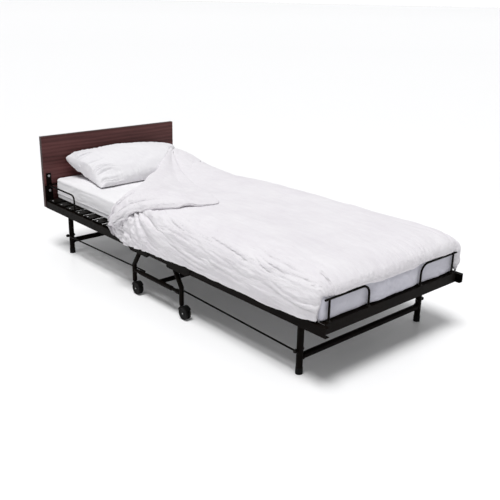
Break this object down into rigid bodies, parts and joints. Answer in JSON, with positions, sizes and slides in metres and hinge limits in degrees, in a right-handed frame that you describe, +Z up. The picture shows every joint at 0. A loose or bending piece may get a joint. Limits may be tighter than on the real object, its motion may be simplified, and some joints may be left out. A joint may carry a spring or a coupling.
{
  "type": "folding rollaway bed",
  "caption": "Rollaway bed with a wood-look headboard and white bedding; two slatted deck halves fold up about a wheeled centre frame as linked legs swing in.",
  "frame": {"origin": "on the floor under the middle of the bed", "axes": "+X across the bed to the sleeper's left when lying on the back, +Y along the bed to the headboard, +Z up"},
  "size_m": [0.838, 1.952, 0.574],
  "materials": {
    "frame_paint": "satin",
    "hardware": "satin",
    "board": "satin",
    "sheet": "matte",
    "quilt": "matte",
    "pillowcase": "matte",
    "rubber": "matte",
    "caster_plastic": "satin",
    "tread": "satin"
  },
  "bodies": {
    "centre_frame": {"caster_legs": "frame_paint", "side_bars": "frame_paint", "transverse_bar": "frame_paint", "centre_rails": "frame_paint", "hinge_brackets": "frame_paint", "fold_pivots": "hardware", "centre_slats": "frame_paint", "caster_sockets": "rubber", "mattress_middle": "sheet", "quilt_middle": "quilt"},
    "head_deck": {"head_rail_left": "frame_paint", "head_rail_right": "frame_paint", "head_cross_rail": "frame_paint", "head_slats": "frame_paint", "head_guard_left": "frame_paint", "head_guard_right": "frame_paint", "headboard": "board", "headboard_brackets": "frame_paint", "headboard_bolts": "hardware", "head_leg_brackets": "frame_paint", "head_leg_pivots": "hardware", "mattress_head": "sheet", "pillow": "pillowcase", "quilt_head": "quilt"},
    "foot_deck": {"foot_rail_left": "frame_paint", "foot_rail_right": "frame_paint", "foot_cross_rail": "frame_paint", "foot_slats": "frame_paint", "foot_guard_left": "frame_paint", "foot_guard_right": "frame_paint", "foot_guard_nuts": "hardware", "foot_leg_brackets": "frame_paint", "foot_leg_pivots": "hardware", "mattress_foot": "sheet", "quilt_foot": "quilt"},
    "head_leg_frame": {"head_leg_left": "frame_paint", "head_leg_right": "frame_paint", "head_crossbar": "frame_paint", "head_leg_feet": "rubber", "head_link_bolts": "hardware"},
    "foot_leg_frame": {"foot_leg_left": "frame_paint", "foot_leg_right": "frame_paint", "foot_crossbar": "frame_paint", "foot_leg_feet": "rubber", "foot_link_bolts": "hardware"},
    "head_link_rods": {"head_links": "frame_paint"},
    "foot_link_rods": {"foot_links": "frame_paint"},
    "head_left_caster": {"caster_head_left_fork": "caster_plastic", "caster_head_left_axle": "hardware"},
    "head_left_wheel": {"caster_head_left_wheel": "tread"},
    "head_right_caster": {"caster_head_right_fork": "caster_plastic", "caster_head_right_axle": "hardware"},
    "head_right_wheel": {"caster_head_right_wheel": "tread"},
    "foot_left_caster": {"caster_foot_left_fork": "caster_plastic", "caster_foot_left_axle": "hardware"},
    "foot_left_wheel": {"caster_foot_left_wheel": "tread"},
    "foot_right_caster": {"caster_foot_right_fork": "caster_plastic", "caster_foot_right_axle": "hardware"},
    "foot_right_wheel": {"caster_foot_right_wheel": "tread"}
  },
  "joints": [
    {"name": "head_fold", "type": "hinge", "parent": "centre_frame", "child": "head_deck", "pos_m": [0, 0.113, 0.238], "axis": [1, 0, 0], "range_deg": [0, 80], "deforming": ["mattress_middle", "quilt_middle"]},
    {"name": "head_legs_turn", "type": "hinge", "parent": "head_deck", "child": "head_leg_frame", "pos_m": [0, 0.802, 0.222], "axis": [1, 0, 0], "range_deg": [-80, 0]},
    {"name": "head_links_turn", "type": "hinge", "parent": "centre_frame", "child": "head_link_rods", "pos_m": [0, 0.113, 0.11], "axis": [1, 0, 0], "range_deg": [0, 80]},
    {"name": "foot_fold", "type": "hinge", "parent": "centre_frame", "child": "foot_deck", "pos_m": [0, -0.167, 0.238], "axis": [-1, 0, 0], "range_deg": [0, 80]},
    {"name": "foot_legs_turn", "type": "hinge", "parent": "foot_deck", "child": "foot_leg_frame", "pos_m": [0, -0.818, 0.222], "axis": [-1, 0, 0], "range_deg": [-80, 0]},
    {"name": "foot_links_turn", "type": "hinge", "parent": "centre_frame", "child": "foot_link_rods", "pos_m": [0, -0.167, 0.11], "axis": [-1, 0, 0], "range_deg": [0, 80]},
    {"name": "head_left_swivel", "type": "hinge", "parent": "centre_frame", "child": "head_left_caster", "pos_m": [-0.388, 0.164, 0.06], "axis": [0, 0, 1], "continuous": true},
    {"name": "head_left_roll", "type": "hinge", "parent": "head_left_caster", "child": "head_left_wheel", "pos_m": [-0.388, 0.142, 0.028], "axis": [1, 0, 0], "continuous": true},
    {"name": "head_right_swivel", "type": "hinge", "parent": "centre_frame", "child": "head_right_caster", "pos_m": [0.388, 0.164, 0.06], "axis": [0, 0, 1], "continuous": true},
    {"name": "head_right_roll", "type": "hinge", "parent": "head_right_caster", "child": "head_right_wheel", "pos_m": [0.388, 0.142, 0.028], "axis": [1, 0, 0], "continuous": true},
    {"name": "foot_left_swivel", "type": "hinge", "parent": "centre_frame", "child": "foot_left_caster", "pos_m": [-0.388, -0.18, 0.06], "axis": [0, 0, 1], "continuous": true},
    {"name": "foot_left_roll", "type": "hinge", "parent": "foot_left_caster", "child": "foot_left_wheel", "pos_m": [-0.388, -0.202, 0.028], "axis": [1, 0, 0], "continuous": true},
    {"name": "foot_right_swivel", "type": "hinge", "parent": "centre_frame", "child": "foot_right_caster", "pos_m": [0.388, -0.18, 0.06], "axis": [0, 0, 1], "continuous": true},
    {"name": "foot_right_roll", "type": "hinge", "parent": "foot_right_caster", "child": "foot_right_wheel", "pos_m": [0.388, -0.202, 0.028], "axis": [1, 0, 0], "continuous": true}
  ],
  "couplings": [
    {"joint": "head_legs_turn", "follows": "head_fold", "ratio": -1},
    {"joint": "head_links_turn", "follows": "head_fold", "ratio": 1},
    {"joint": "foot_legs_turn", "follows": "foot_fold", "ratio": -1},
    {"joint": "foot_links_turn", "follows": "foot_fold", "ratio": 1}
  ]
}
